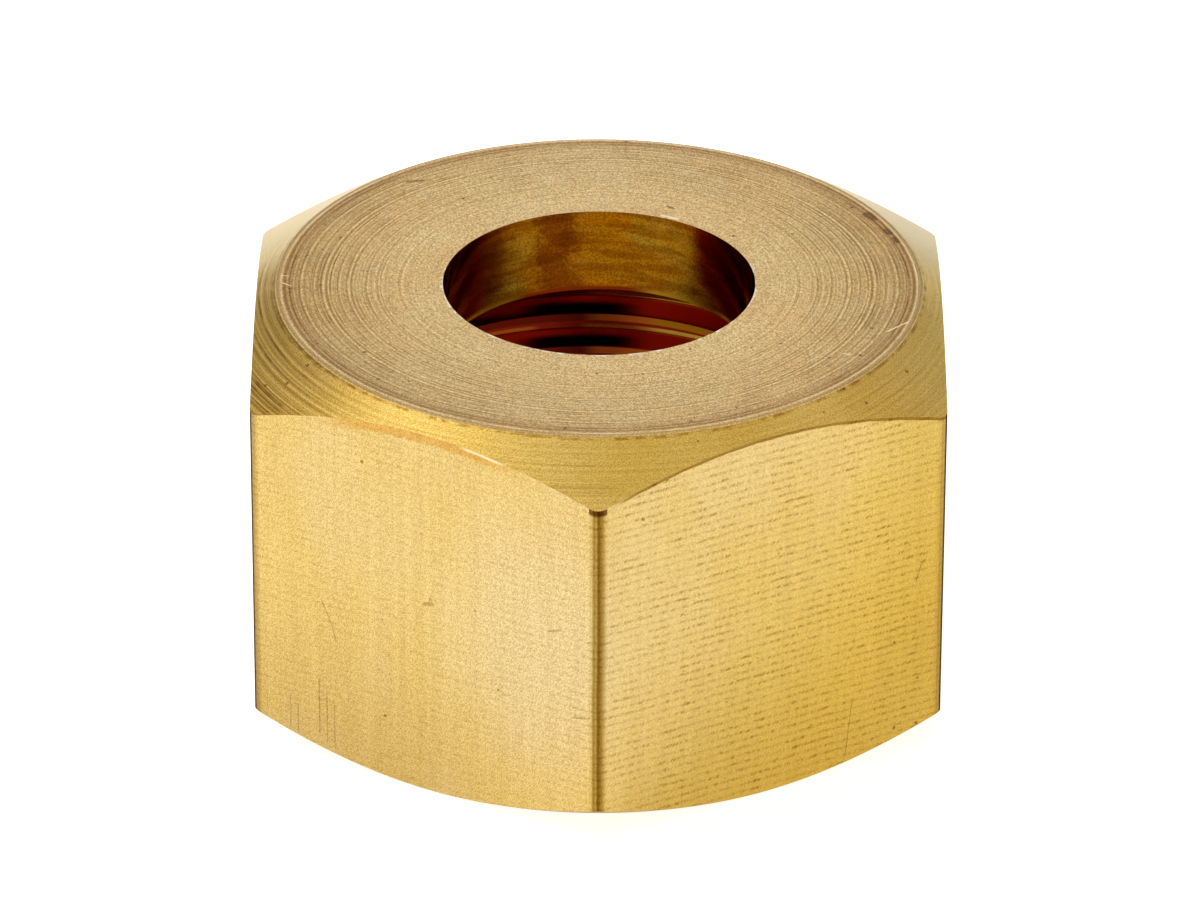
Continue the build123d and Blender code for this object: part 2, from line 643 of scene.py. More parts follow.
# %% Faced end: colours, stains and nicks
END_ROUGHNESS = 0.42
END_RING_SPACING = 0.11
END_GRAIN_HEIGHT = 0.004
END_PALE = (1.0, 0.83, 0.52)
END_DULL = (1.0, 0.79, 0.46)
TOP = HEIGHT / MM
END_STAINS = [
    ((10.7, 6.0, TOP), (10.95, 5.6, TOP), 0.42),
    ((11.4, 4.6, TOP), (11.55, 4.3, TOP), 0.34),
    ((11.75, 3.9, TOP), (11.8, 3.6, TOP), 0.30),
    ((-7.7, 8.75, TOP), (-7.1, 8.85, TOP), 0.22),
    ((2.75, 6.6, TOP), (2.95, 6.45, TOP), 0.2),
]
END_NICKS = [
    ((11.2, -4.11, TOP), (12.06, -3.29, TOP), 0.08),
    ((2.55, 5.8, TOP), (3.1, 5.52, TOP), 0.22),
    ((9.5, -5.95, TOP), (9.72, -6.02, TOP), 0.09),
    ((-12.45, -0.15, TOP), (-12.1, -0.4, TOP), 0.07),
    ((-12.5, 0.5, TOP), (-12.2, 0.45, TOP), 0.06),
]
print(len(END_STAINS), "stains and", len(END_NICKS), "nicks on the faced end")

# %% [markdown]
# ### The faced end's colour
# The colour is painted in layers: a patchy base, the rings, the grain, and then what lies in one
# place only. Just inside the rim a brown band of painted shade runs round beside a thin ridge,
# which is painted paler as a highlight. Towards the left and right the rings are glazed darker as
# painted shade. At the hole the drill has pushed up a burr, painted near white as a highlight here
# and there on the near side.

# %% Material: faced end
shader, point, from_axis = new_metal("faced_end", END_ROUGHNESS, TURNED_SHEEN)
x_place, y_place = split(point)[:2]
rim_radius = TOP_FACE_RADIUS / MM
rings = place_group(rings_group, point, spacing=END_RING_SPACING)
grain = place_group(grain_group, point, size=0.052, pit_spacing=0.6, pit_size=0.09)
patches = place_group(patch_group, point, size=3.0)
plain_rings = spread(from_axis, 6.0, 12.0, 0.4, 1.0)
ring_ridges = times(rings["ridges"], plain_rings)
# A thin ridge at the rim, painted paler as a highlight.
ridge_highlight = band(from_axis, rim_radius - 0.06, rim_radius - 0.03, rim_radius, rim_radius + 0.03)
ridge_highlight_luck = spread(noise(point, 0.7, 3), 0.35, 0.6, 0.1, 0.7)
# A band just inside the rim, glazed darker as painted shade.
inside_rim_shade = band(from_axis, 11.7, 12.35, rim_radius - 0.12, rim_radius - 0.06)
# The rings are glazed darker towards the left and right: painted shade.
sides_shade = spread(calc("ABSOLUTE", x_place), 7.0, 10.5)
# The drill's burr round the hole, painted near white as a highlight on the near side only.
burr_highlight_reach = plus(from_axis, times(noise(point, 2.5, 4), 0.6))
burr_highlight = times(spread(burr_highlight_reach, 6.48, 6.44), spread(y_place, 2.5, 0.5))
colour = paint(mix(patches["amount"], END_DULL, END_PALE), [
    ("rings", GLAZE, ring_ridges, (0.66, 0.58, 0.48)),
    ("dark rings", GLAZE, times(rings["dark lines"], plain_rings), (0.60, 0.48, 0.36)),
    ("grain", GLAZE, times(grain["grain"], 0.85), (0.52, 0.44, 0.33)),
    ("ridge_highlight", COVER, times(ridge_highlight, ridge_highlight_luck), (1.0, 0.86, 0.60)),
    ("pits", GLAZE, grain["pits"], (0.45, 0.36, 0.26)),
    ("shade inside the rim", GLAZE, times(inside_rim_shade, 0.75), (0.66, 0.54, 0.42)),
    ("shade at the sides", GLAZE, times(sides_shade, rings["ridges"]), (0.78, 0.74, 0.70)),
    ("burr_highlight", COVER, burr_highlight, (1.0, 0.98, 0.92)),
    ("stains", GLAZE, times(add_marks(point, END_STAINS), 0.8), (0.36, 0.28, 0.25)),
    ("nicks", COVER, add_marks(point, END_NICKS), (0.98, 0.88, 0.66)),
])
finish_off(shader, colour, [
    (ring_ridges, RING_HEIGHT), (grain["grain"], END_GRAIN_HEIGHT), (grain["pits"], -PIT_DEPTH),
])

# %% [markdown]
# ## The turned cones
# The cones are turned too, but with a keener tool: they are brighter and yellower than the ends.
# On one side the tool chattered and left coarse rings, dark and bright, and away from there the
# cone is smoother. Towards the back it is painted paler, as a painted reflection, and at the back
# right it is a little darker and greyer. Where it meets the end's rim a broken brown line runs
# round, and small burrs shine beside it.

# %% Turned cone: colours and nicks
CONE_ROUGHNESS = 0.27
CONE_RING_SPACING = 0.125
CONE_GRAIN_HEIGHT = 0.002
CONE_BRIGHT = (0.98, 0.76, 0.29)
CONE_DULL = (0.93, 0.69, 0.22)
CONE_NICKS = [
    ((-11.49, -6.3, 15.95), (-11.18, -6.29, 16.12), 0.06),
    ((-11.28, -6.74, 15.93), (-11.05, -6.68, 16.07), 0.06),
    ((-10.45, -7.54, 16.09), (-9.98, -7.75, 16.25), 0.06),
    ((-10.0, -8.0, 16.1), (-9.8, -8.2, 16.12), 0.06),
    ((2.38, -14.2, 15.13), (2.45, -14.16, 15.17), 0.12),
    ((3.33, -13.68, 15.33), (3.42, -13.64, 15.37), 0.12),
    ((3.95, -13.33, 15.45), (4.02, -13.29, 15.47), 0.10),
]
print(len(CONE_NICKS), "nicks on the cone")

# %% [markdown]
# ### The cone's colour
# The layers follow the faced end's. The chatter is strongest at the far left and stops towards the
# back, where the cone is painted pale as a painted reflection, and a little darker and greyer again
# at the back right.

# %% Material: turned cone
shader, point, from_axis = new_metal("turned_cone", CONE_ROUGHNESS, TURNED_SHEEN)
x_place, y_place = split(point)[:2]
rings = place_group(rings_group, point, spacing=CONE_RING_SPACING)
grain = place_group(grain_group, point, size=0.052, pit_spacing=0.8, pit_size=0.10)
patches = place_group(patch_group, point, size=4.0)
not_back = spread(y_place, 4.0, 0.0)
chatter = times(spread(x_place, -9.5, -12.0, 0.3, 1.0), not_back)
shade_share = times(spread(x_place, -7.0, -12.0, 0.3, 1.0), spread(not_back, 0.0, 1.0, 0.4, 1.0))
at_rim = band(from_axis, 12.75, 12.79, 12.84, 12.90)
dots = spread(noise(point, 2.2, 3), 0.42, 0.62)
# Darker and greyer towards the back right.
back_right = times(spread(x_place, 8.0, 12.0, 0.0, 0.8), spread(y_place, 0.0, 4.0))
colour = paint(mix(patches["amount"], CONE_DULL, CONE_BRIGHT), [
    ("rings", GLAZE, times(rings["ridges"], shade_share), (0.50, 0.40, 0.22)),
    ("dark rings", GLAZE, times(rings["dark lines"], chatter), (0.42, 0.33, 0.20)),
    ("grain", GLAZE, times(grain["grain"], 0.55), (0.56, 0.46, 0.22)),
    ("pits", GLAZE, grain["pits"], (0.50, 0.38, 0.24)),
    ("rim", GLAZE, times(at_rim, dots), (0.62, 0.50, 0.34)),
    # The back of the cone is painted paler: a painted reflection.
    ("painted reflection at the back", COVER, spread(y_place, 0.0, 6.0, 0.0, 0.5), (0.98, 0.88, 0.66)),
    ("back right", GLAZE, back_right, (0.72, 0.73, 0.78)),
    ("nicks", COVER, add_marks(point, CONE_NICKS), (1.0, 0.92, 0.66)),
])
cone_ridges = times(rings["ridges"], chatter)
finish_off(shader, colour, [
    (cone_ridges, RING_HEIGHT), (grain["grain"], CONE_GRAIN_HEIGHT), (grain["pits"], -PIT_DEPTH),
])

# %% [markdown]
# ## The drawn flats
# The flats were never machined on this nut: they are the bar's own skin, drawn through a die. The
# die leaves faint lines along the bar, and its judder leaves rows of tiny slanting ticks across it,
# a third of a millimetre apart and stronger on some flats than on others. The rolled corners
# carry dark lines along the bar.

# %% Drawn flat: colours and scratches
FLAT_ROUGHNESS = 0.36
FLAT_PALE = (1.0, 0.81, 0.42)
FLAT_MIDDLE = (0.98, 0.77, 0.31)
FLAT_SCRATCHES = [
    ((-10.75, -9.38, 7.2), (-10.35, -9.62, 6.2), 0.05),
    ((-10.35, -9.62, 6.2), (-10.2, -9.71, 5.5), 0.05),
    ((-6.7, -11.72, 8.36), (-6.42, -11.89, 8.44), 0.19),
    ((-6.5, -11.84, 8.62), (-6.45, -11.87, 8.66), 0.12),
    ((-12.05, -8.63, 2.5), (-12.05, -8.63, 1.1), 0.05),
    ((-11.75, -8.8, 2.2), (-11.75, -8.8, 0.9), 0.05),
    ((-10.9, -9.3, 3.6), (-10.9, -9.3, 1.2), 0.06),
    ((-10.6, -9.48, 3.2), (-10.6, -9.48, 0.9), 0.05),
    ((-10.3, -9.65, 2.6), (-10.3, -9.65, 0.7), 0.05),
    ((-1.9, -14.5, 8.75), (-1.4, -14.78, 8.95), 0.07),
    ((-0.95, -15.05, 5.25), (-0.5, -15.3, 5.35), 0.06),
    ((12.4, -8.43, 7.6), (12.62, -8.3, 8.4), 0.07),
    ((9.95, -9.85, 3.1), (9.7, -9.99, 0.6), 0.06),
]
print(len(FLAT_SCRATCHES), "scratches on the flats")

# %% [markdown]
# ### Rows of ticks
# A sine of the height draws the rows, and a slow noise makes them sway. Fine noise, sheared by a
# slanting lean along the flat, cuts each row into tiny ticks. Two more factors make the rows plain
# on every other flat and in some places only, and a third breaks them into short runs.

# %% Rows of ticks
ROW_SPACING = 0.335
TICK_LEAN = 0.6
shader, point, from_axis = new_metal("drawn_flat", FLAT_ROUGHNESS, 0.0)
x_place, y_place, z_place = split(point)
sway = times(noise(stretch(point, (1, 1, 0.5)), 0.35, 2), 0.4)
row_place = plus(calc("DIVIDE", z_place, ROW_SPACING), sway)
rows = spread(calc("SINE", times(row_place, 2 * pi)), -0.1, 0.9)
facing = add_node(shader.id_data, "TexCoord").outputs["Normal"]
lean = scaled(calc_points("CROSS_PRODUCT", facing, (0, 0, 1)), times(z_place, TICK_LEAN))
slanted = calc_points("ADD", stretch(point, (1, 1, 0.3)), lean)
ticks = spread(noise(slanted, 14.0, 3), 0.42, 0.58, 0.1, 1.0)
round_turn = calc("ARCTAN2", y_place, x_place)
alternate = calc("SINE", minus(times(round_turn, 3), pi / 2))
by_flat = spread(alternate, -0.5, 0.5, 0.35, 1.0)
by_place = spread(noise(point, 0.6, 3), 0.35, 0.6, 0.5, 1.0)
runs = spread(noise(stretch(point, (1, 1, 2)), 3.2, 3), 0.40, 0.62, 0.3, 1.0)
judder = times(times(times(rows, ticks), times(by_flat, by_place)), runs)
print("rows of ticks", ROW_SPACING, "mm apart")

# %% [markdown]
# ### Colour of the flats
# The skin of the bar is paler in soft patches where it was handled, so the colour moves across the
# flats in slow steps. The flats are also painted a deeper yellow towards the lower right, and darker
# low on the left and near the right edge, all as painted shade. Over this lie the draw lines along
# the bar, the grain, the ticks, the pits and the scratches. One patch beside the front corner is
# painted paler, as a painted highlight.

# %% Colour of the flats
HIGHLIGHT_PLACE = (-1.9, -14.4, 5.6)
grain = place_group(grain_group, point, size=0.048, pit_spacing=0.9, pit_size=0.09)
drawn_point = stretch(point, (1, 1, 2.2))
flecks = place_group(grain_group, drawn_point, size=0.12, pit_spacing=0.42, pit_size=0.075)
patches = place_group(patch_group, stretch(point, (1, 1, 0.6)), size=5.0)
draw_lines = spread(noise(stretch(point, (1, 1, 0.02)), 4.0, 4), 0.35, 0.65)
# A patch beside the front corner, painted paler as a highlight.
from_highlight = calc_points("DISTANCE", stretch(point, (1, 1, 0.7)), HIGHLIGHT_PLACE, result=1)
front_highlight = times(spread(from_highlight, 6.0, 1.0), spread(x_place, 1.4, -0.2, 0.25, 1.0))
# A deeper, more saturated yellow towards the lower right: painted shade.
toward_shade = minus(times(x_place, 0.06), times(z_place, 0.05))
line_share = spread(x_place, 1.0, -1.0, 0.12, 0.17)
grain_share = spread(x_place, 1.0, -1.0, 0.5, 0.75)
# Darker low on the left: painted shade.
low_left_shade = times(spread(z_place, 9.0, 0.0), spread(x_place, -1.0, -9.0))
# Darker near the right edge: painted shade.
right_edge_shade = times(spread(x_place, 10.0, 13.0), spread(z_place, 1.0, 5.0))
scratches = add_marks(point, FLAT_SCRATCHES)
colour = paint(mix(times(patches["amount"], 0.7), FLAT_MIDDLE, FLAT_PALE), [
    ("front_highlight", COVER, front_highlight, (1.0, 0.83, 0.50)),
    ("deep in shade", COVER, spread(toward_shade, -0.45, 0.45, 0.0, 0.9), (1.0, 0.71, 0.14)),
    ("draw lines", GLAZE, times(draw_lines, line_share), (0.70, 0.62, 0.45)),
    ("grain", GLAZE, times(grain["grain"], grain_share), (0.62, 0.53, 0.32)),
    ("low left shade", GLAZE, low_left_shade, (0.84, 0.80, 0.74)),
    ("right edge shade", GLAZE, right_edge_shade, (0.92, 0.91, 0.86)),
    ("ticks", GLAZE, judder, (0.56, 0.44, 0.21)),
    ("flecks", GLAZE, times(flecks["pits"], 0.6), (0.60, 0.46, 0.28)),
    ("pits", GLAZE, grain["pits"], (0.55, 0.42, 0.26)),
    ("scratches", GLAZE, times(scratches, 0.55), (0.52, 0.40, 0.24)),
])
print("flats' colour:", len(shader.id_data.nodes), "nodes so far")

# %% [markdown]
# ### Lines in the corners
# Each rolled corner carries dark lines along the bar: the die's own lines, together with painted
# shade for the dark reflection in the rounded corner, strongest on the front corner. A point's turn
# round the nut, counted from the nearest corner, gives its place across that corner, and a ramp over
# this place draws one fixed set of lines. Whole turns are added first, so that the count never falls
# below zero. A darker line is also browner: its green and blue are taken to a higher power. The two
# corners at the sides of the front carry a narrow dark line at their outer edge as well, as painted
# shade, and it is made matt.

# %% Corner lines
CORNER_HALF = 0.36
CORNER_REACH = 15.49
WHOLE_SIXTHS = 100
BROWNING = (1.0, 1.3, 2.4)
SIDE_LINE_ROUGHNESS = 0.86
# Shades across a corner: the die's lines, with painted shade for the rounded corner's dark reflection.
CORNER_LINES_AND_SHADE = [
    (-0.36, 1.0), (-0.30, 0.88), (-0.24, 0.88), (-0.20, 0.63), (-0.16, 0.45), (-0.12, 0.48),
    (-0.08, 0.62), (-0.04, 0.48), (0.0, 0.27), (0.04, 0.26), (0.08, 0.35), (0.12, 0.42),
    (0.16, 0.48), (0.24, 0.68), (0.32, 0.96),
]
sixths = calc("DIVIDE", minus(round_turn, pi / 6), pi / 3)
off_corner = minus(calc("FRACT", plus(sixths, WHOLE_SIXTHS + 0.5)), 0.5)
wobble = times(minus(noise(point, 0.5, 3), 0.5), 0.08)
across_corner = plus(times(off_corner, pi / 3 * CORNER_REACH), wobble)
ramp_place = plus(times(across_corner, 0.5 / CORNER_HALF), 0.5)
corner_stops = [((place / CORNER_HALF + 1) / 2, tuple(shade ** power for power in BROWNING))
                for place, shade in CORNER_LINES_AND_SHADE]
near_corner = spread(calc("ABSOLUTE", across_corner), CORNER_HALF, CORNER_HALF - 0.02)
at_front = spread(y_place, -12.5, -15.0, 0.55, 1.0)
# A narrow dark line on the outer edge of the two side corners at the front: painted shade, also made
# matt.
side_shade_place = times(near_corner, spread(y_place, -4.0, -6.0))
side_shade_line = times(side_shade_place, spread(calc("ABSOLUTE", x_place), 13.40, 13.46))
colour = paint(colour, [
    ("corner lines and shade", GLAZE, times(near_corner, at_front), ramp(ramp_place, corner_stops)),
    ("side corner shade", GLAZE, side_shade_line, (0.18, 0.12, 0.035)),
])
side_line_matt = times(side_shade_line, SIDE_LINE_ROUGHNESS - FLAT_ROUGHNESS)
feed(shader.inputs["Roughness"], plus(FLAT_ROUGHNESS, side_line_matt))
print(len(CORNER_LINES_AND_SHADE), "lines across each corner,", 2 * CORNER_HALF, "mm wide in all")

# %% [markdown]
# ### Lines under the cone
# Where the cone cuts a flat it leaves a curved edge. The height of this curve follows from the
# distance to the axis and the cone's angle, so a line can be drawn at any distance below it: a
# painted warm glow and a short burr painted bright as a highlight on the left, a thin dark line of
# painted shade on the right, and a dark smile of painted shadow at the top of the front corner. The
# colour is then complete, and the same masks tilt the shading: draw lines and grain stand a few
# thousandths of a millimetre high, and the rest is cut in.

# %% Lines under the cone, and the flats' relief
DRAW_LINE_HEIGHT = 0.001
FLAT_GRAIN_HEIGHT = 0.003
TICK_DEPTH = 0.005
SCRATCH_DEPTH = 0.015
cone_drop = times(minus(from_axis, TOP_FACE_RADIUS / MM), tan(CONE_ANGLE))
arc_height = minus(HEIGHT / MM, cone_drop)
arc_shake = times(noise(point, 1.5, 4), 0.10)
below_arc = plus(minus(arc_height, z_place), arc_shake)
# A warm band under the curve on the left: a painted glow.
left_arc_glow = times(spread(below_arc, 0.45, 0.22), band(x_place, -11.5, -9.0, -4.5, -2.5))
# A short burr under the left curve, painted bright as a highlight.
burr_highlight = times(spread(below_arc, 0.10, 0.06), band(x_place, -5.4, -4.9, -4.0, -3.4))
# A thin dark line under the curve on the right: painted shade.
right_arc_shade = times(spread(below_arc, 0.12, 0.08), spread(x_place, 0.3, 1.5))
# A dark smile at the top of the front corner: a painted shadow.
smile_shadow_place = times(near_corner, spread(y_place, -14.5, -15.0))
colour = paint(colour, [
    ("left curve glow", GLAZE, left_arc_glow, (0.93, 0.74, 0.50)),
    ("burr_highlight", COVER, times(burr_highlight, 0.8), (1.0, 0.94, 0.66)),
    ("right curve shade", GLAZE, right_arc_shade, (0.45, 0.34, 0.14)),
    ("smile shadow", GLAZE, times(spread(below_arc, 0.30, 0.16), smile_shadow_place), (0.30, 0.20, 0.10)),
])
finish_off(shader, colour, [
    (draw_lines, DRAW_LINE_HEIGHT), (grain["grain"], FLAT_GRAIN_HEIGHT), (judder, -TICK_DEPTH),
    (grain["pits"], -PIT_DEPTH), (scratches, -SCRATCH_DEPTH),
])

# %% [markdown]
# ## The bore
# Drills and the tap leave a smoother, tighter surface than the facing tool. It looks much darker
# than it is: light bounces from wall to wall, and brass takes more blue and green out of it every
# time. On top of that the bore is painted a deep amber for the colour of the bounced light, with
# olive and red patches of painted reflection. These patches on the wall behind the hole are listed
# as marks.

# %% Bore: colours and painted reflections
TUBE_ROUGHNESS = (0.08, 0.16)
RUBBED_ROUGHNESS = 0.12
BORE_GRAIN_HEIGHT = 0.0003
BORE_AMBER = (1.0, 0.58, 0.06)
BORE_OLIVE = (1.0, 0.78, 0.26)
TUBE_EDGE_RED = (0.50, 0.08, 0.02)
TUBE_EDGE_HIGHLIGHT = (1.0, 0.76, 0.22)
THREAD_GOLD = (0.95, 0.74, 0.24)
CREST_LEFT = (0.24, 0.02, 0.01)
CREST_MIDDLE = (0.82, 0.18, 0.035)
CREST_RIGHT = (0.60, 0.27, 0.01)
ROOT_MIDDLE = (0.42, 0.03, 0.01)
ROOT_SIDE = (0.60, 0.16, 0.02)
ROOT_RIGHT = (1.0, 0.72, 0.12)
FLANK_RED = (0.55, 0.09, 0.04)
FLANK_GLOW = (0.80, 0.12, 0.03)
FLANK_BLACK = (0.06, 0.01, 0.01)
# Olive and red patches on the wall behind the hole: painted reflection.
OLIVE_REFLECTIONS = [
    ((-4.2, 4.5, 15.2), (-3.2, 5.3, 14.9), 1.8), ((-4.2, 4.5, 13.5), (-3.4, 5.1, 13.4), 1.5),
    ((2.0, 5.8, 15.5), (3.6, 5.0, 14.9), 2.2), ((3.2, 5.2, 13.3), (4.2, 4.5, 13.2), 1.6),
]
RED_REFLECTIONS = [((-1.8, 5.9, 16.2), (-1.5, 6.0, 15.0), 1.9), ((-2.0, 5.8, 14.5), (-1.5, 6.0, 12.9), 1.8)]
print(len(OLIVE_REFLECTIONS) + len(RED_REFLECTIONS), "patches of painted reflection in the tube hole")

# %% [markdown]
# ### The tube hole's wall
# The wall is painted amber, with olive and red patches of painted reflection, and with fine lines
# round it that the drill left. Towards both sides it is painted red and then dark, as painted shade.
# Along the wall's lower edge a thin line is painted, gold at the sides as a painted highlight and
# red in the middle.

# %% Material: cut bore
shader, point, from_axis = new_metal("cut_bore", TUBE_ROUGHNESS[0], 0.0)
x_place, y_place, z_place = split(point)
grain = place_group(grain_group, point, size=0.085, pit_spacing=1.5, pit_size=0.10)
streaks = place_group(patch_group, stretch(point, (0.5, 0.5, 2.0)), size=1.8)
olive_reflection = calc("MAXIMUM", add_marks(point, OLIVE_REFLECTIONS), times(streaks["amount"], 0.3))
from_middle = calc("ABSOLUTE", x_place)
from_shaded_middle = calc("ABSOLUTE", plus(x_place, 0.8))
brushed = noise(stretch(point, (0.15, 0.15, 1)), 3.0, 3)
# The wall's lower edge: a painted highlight in gold at the sides, red in the middle.
edge_highlight_colour = mix(spread(from_shaded_middle, 2.0, 3.2), TUBE_EDGE_RED, TUBE_EDGE_HIGHLIGHT)
edge_highlight_band = spread(z_place, SHOULDER_Z / MM + 0.24, SHOULDER_Z / MM + 0.08)
colour = paint(mix(olive_reflection, BORE_AMBER, BORE_OLIVE), [
    ("red reflection", COVER, times(add_marks(point, RED_REFLECTIONS), 0.85), (0.50, 0.17, 0.04)),
    # Red, then dark towards both sides of the wall: painted shade.
    ("red shade at the sides", COVER, spread(from_middle, 4.1, 5.0), (0.72, 0.14, 0.04)),
    ("dark shade at the ends", COVER, spread(from_middle, 4.6, 5.3), (0.34, 0.02, 0.05)),
    ("drill's lines", GLAZE, spread(brushed, 0.40, 0.60), (0.72, 0.60, 0.4)),
    ("grain", GLAZE, grain["grain"], (0.72, 0.62, 0.45)),
    ("lower edge highlight", COVER, edge_highlight_band, edge_highlight_colour),
])
print("tube hole's wall:", len(shader.id_data.nodes), "nodes")

# %% [markdown]
# ### Painted light and shade in the thread
# Most of the thread is plain gold brass. In the upper turns at the back, which show through the
# hole, light and shade are painted: the crests and the roots are rubbed rougher and painted as lines
# from dark red to gold, and the flanks between are painted dark red to black as shade. The distance
# from the axis tells a crest, a flank and a root apart. How far a point lies above the thread's own
# helix tells the upper half of a root from the lower one. The helix was wound from the y axis, a
# quarter turn on, and half a turn more puts a root's middle at one half.

# %% Painted light and shade in the thread
QUARTER_TURN, HALF_TURN, WHOLE_TURNS = 0.25, 0.5, 20
minor, major = MINOR_RADIUS / MM, MAJOR_RADIUS / MM
in_thread = spread(from_axis, 7.0, 7.1)
crest = times(in_thread, spread(from_axis, minor + 0.06, minor + 0.02))
root = spread(from_axis, major - 0.10, major - 0.04)
rubbed = calc("MAXIMUM", crest, root)
turn = calc("DIVIDE", calc("ARCTAN2", y_place, x_place), 2 * pi)
climb = calc("DIVIDE", minus(z_place, PHASE_Z / MM), PITCH / MM)
off_root = calc("FRACT", plus(minus(climb, turn), QUARTER_TURN + HALF_TURN + WHOLE_TURNS))
upper_root = times(root, spread(off_root, 0.5, 0.53))
to_right = spread(x_place, 1.2, 3.0)
# Crests: painted light and shade, dark on the left, red in the middle, orange on the right.
crest_light_and_shade = mix(spread(x_place, -0.8, 0.2), CREST_LEFT, CREST_MIDDLE)
crest_light_and_shade = mix(to_right, crest_light_and_shade, CREST_RIGHT)
from_dark = calc("ABSOLUTE", plus(x_place, 1.6))
# Roots: painted light and shade, gold on the right as a painted highlight.
root_light_and_shade = mix(spread(from_dark, 0.7, 1.3), ROOT_MIDDLE, ROOT_SIDE)
root_light_and_shade = mix(upper_root, mix(to_right, root_light_and_shade, ROOT_RIGHT), ROOT_MIDDLE)
# Flanks: painted dark red to black as shade.
flank_shade = times(spread(from_shaded_middle, 2.8, 1.2), spread(from_axis, 9.80, 9.55))
flank_red = mix(spread(from_middle, 1.8, 0.5), FLANK_RED, FLANK_GLOW)
flank_light_and_shade = mix(flank_shade, flank_red, FLANK_BLACK)
# Only the upper turns at the back, which show through the hole, get this painted light and shade.
painted_turns = times(spread(y_place, 0.0, 3.0), spread(z_place, 5.5, 7.5))
painted_turns_colour = mix(root, mix(crest, flank_light_and_shade, crest_light_and_shade), root_light_and_shade)
colour = mix(in_thread, colour, mix(painted_turns, THREAD_GOLD, painted_turns_colour))
tube_rough = spread(streaks["amount"], 0.0, 1.0, *TUBE_ROUGHNESS)
feed(shader.inputs["Roughness"], plus(tube_rough, times(rubbed, RUBBED_ROUGHNESS)))
finish_off(shader, colour, [(grain["grain"], BORE_GRAIN_HEIGHT)])

# %% [markdown]
# ## The broken edges
# Along its edges the metal is burnished bright where a burr was rubbed down, and dull where dirt
# has stayed in the corner. Noise moves between the two along each edge. Round the tube hole the
# edge is always half bright, and at the far ends of the corners it is painted dark, as painted shade.

# %% Material: broken edge
EDGE_ROUGHNESS = 0.24
EDGE_GRAIN_HEIGHT = 0.004
EDGE_BRIGHT = (1.0, 0.88, 0.58)
EDGE_DULL = (0.66, 0.46, 0.18)
shader, point, from_axis = new_metal("broken_edge", EDGE_ROUGHNESS, 0.0)
grain = place_group(grain_group, point, size=0.12, pit_spacing=1.0, pit_size=0.10)
worn = spread(noise(point, 1.1, 4), 0.42, 0.58)
worn = calc("MAXIMUM", worn, spread(from_axis, 6.6, 6.4, 0.0, 0.5))
colour = paint(mix(worn, EDGE_DULL, EDGE_BRIGHT), [
    # Edges at the far ends of the corners, painted dark as shade.
    ("corner shade", COVER, spread(from_axis, 15.15, 15.30), (0.16, 0.10, 0.04)),
    ("grain", GLAZE, times(grain["grain"], 0.35), (0.6, 0.5, 0.35)),
])
finish_off(shader, colour, [(grain["grain"], EDGE_GRAIN_HEIGHT)])

# %% [markdown]
# ## Sorting the faces
# Each tool made its own faces, so a face's place and slope say which finish it has: level faces
# were faced, faces at the cone's slope were turned, upright ones are the bar's own flats, and what
# slopes in between is a broken edge. Whatever lies inside the bore was drilled or tapped.

# %% Sort the faces by finish
FINISHES = [material.name for material in nut.data.materials]
CONE_LEVEL = cos(CONE_ANGLE)
NEARLY_LEVEL = 0.96
SLACK = 0.02


def finish_of(centre, normal):
    """The finish of a face, from its place and its slope."""
    radius = Vector(centre[:2]).length
    slope = abs(normal.z)
    in_tube = radius < TUBE_RADIUS + 0.005 * MM
    in_thread = radius < MOUTH_RADIUS - 0.02 * MM and centre.z < SHOULDER_Z + 0.1 * MM
    if slope > NEARLY_LEVEL and (centre.z < 0.01 * MM or centre.z > HEIGHT - 0.1 * MM):
        return "faced_end"
    if in_tube or in_thread:
        return "cut_bore"
    if abs(slope - CONE_LEVEL) < SLACK:
        return "turned_cone"
    if slope < SLACK:
        return "drawn_flat"
    return "broken_edge"


for face in nut.data.polygons:
    face.material_index = FINISHES.index(finish_of(face.center, face.normal))
for index, name in enumerate(FINISHES):
    print(name, sum(face.material_index == index for face in nut.data.polygons), "faces")

# %% [markdown]
# ## The floor
# The nut stands on a plain pale table. The table takes soft light and keeps the nut's shadow, and it
# also glows a little for the camera and for reflections, so that it is white behind the nut and in
# the metal. Under the nut no lamp reaches the table, so there the glow stops and the paint is
# greyer. Only below the hole a weak glow stands for the light that falls in, with a darker spot to
# the front, where the wall shades it. The table lies a hair below the nut, so that the two level
# faces don't fight for the same place.

# %% Floor
FLOOR_SIZE = 4.0
FLOOR_GAP = 0.02 * MM
CAMERA_GLOW = 0.8
MIRROR_GLOW = 0.28
HOLE_GLOW = 0.34
HOLE_SHADE = (0, -6.5, 0)
SHADE_RANGE = (2.0, 5.5)
HOLE_EDGE = 9.0
OPEN_TABLE = 12.0
PAINT_UNDER = (0.3, 0.3, 0.3)
PAINT_OPEN = (0.8, 0.8, 0.8)
deselect()
bpy.ops.mesh.primitive_plane_add(size=FLOOR_SIZE, location=(0, 0, -FLOOR_GAP))
floor = bpy.context.object
floor.name = "floor"
floor_look = bpy.data.materials.new("pale_table")
floor_look.use_nodes = True
tree = floor_look.node_tree
tree.nodes.clear()
path = add_node(tree, "LightPath").outputs
mirrored = calc("MAXIMUM", path["Is Glossy Ray"], path["Is Transmission Ray"])
strength = calc("MAXIMUM", times(mirrored, MIRROR_GLOW), times(path["Is Camera Ray"], CAMERA_GLOW))
table_point = stretch(add_node(tree, "TexCoord").outputs["Object"], (1 / MM,) * 3)
from_nut = calc_points("LENGTH", table_point, result=1)
open_table = spread(from_nut, HOLE_EDGE, OPEN_TABLE)
from_shade = calc_points("DISTANCE", table_point, HOLE_SHADE, result=1)
under_hole = times(spread(from_nut, OPEN_TABLE, HOLE_EDGE), spread(from_shade, *SHADE_RANGE))
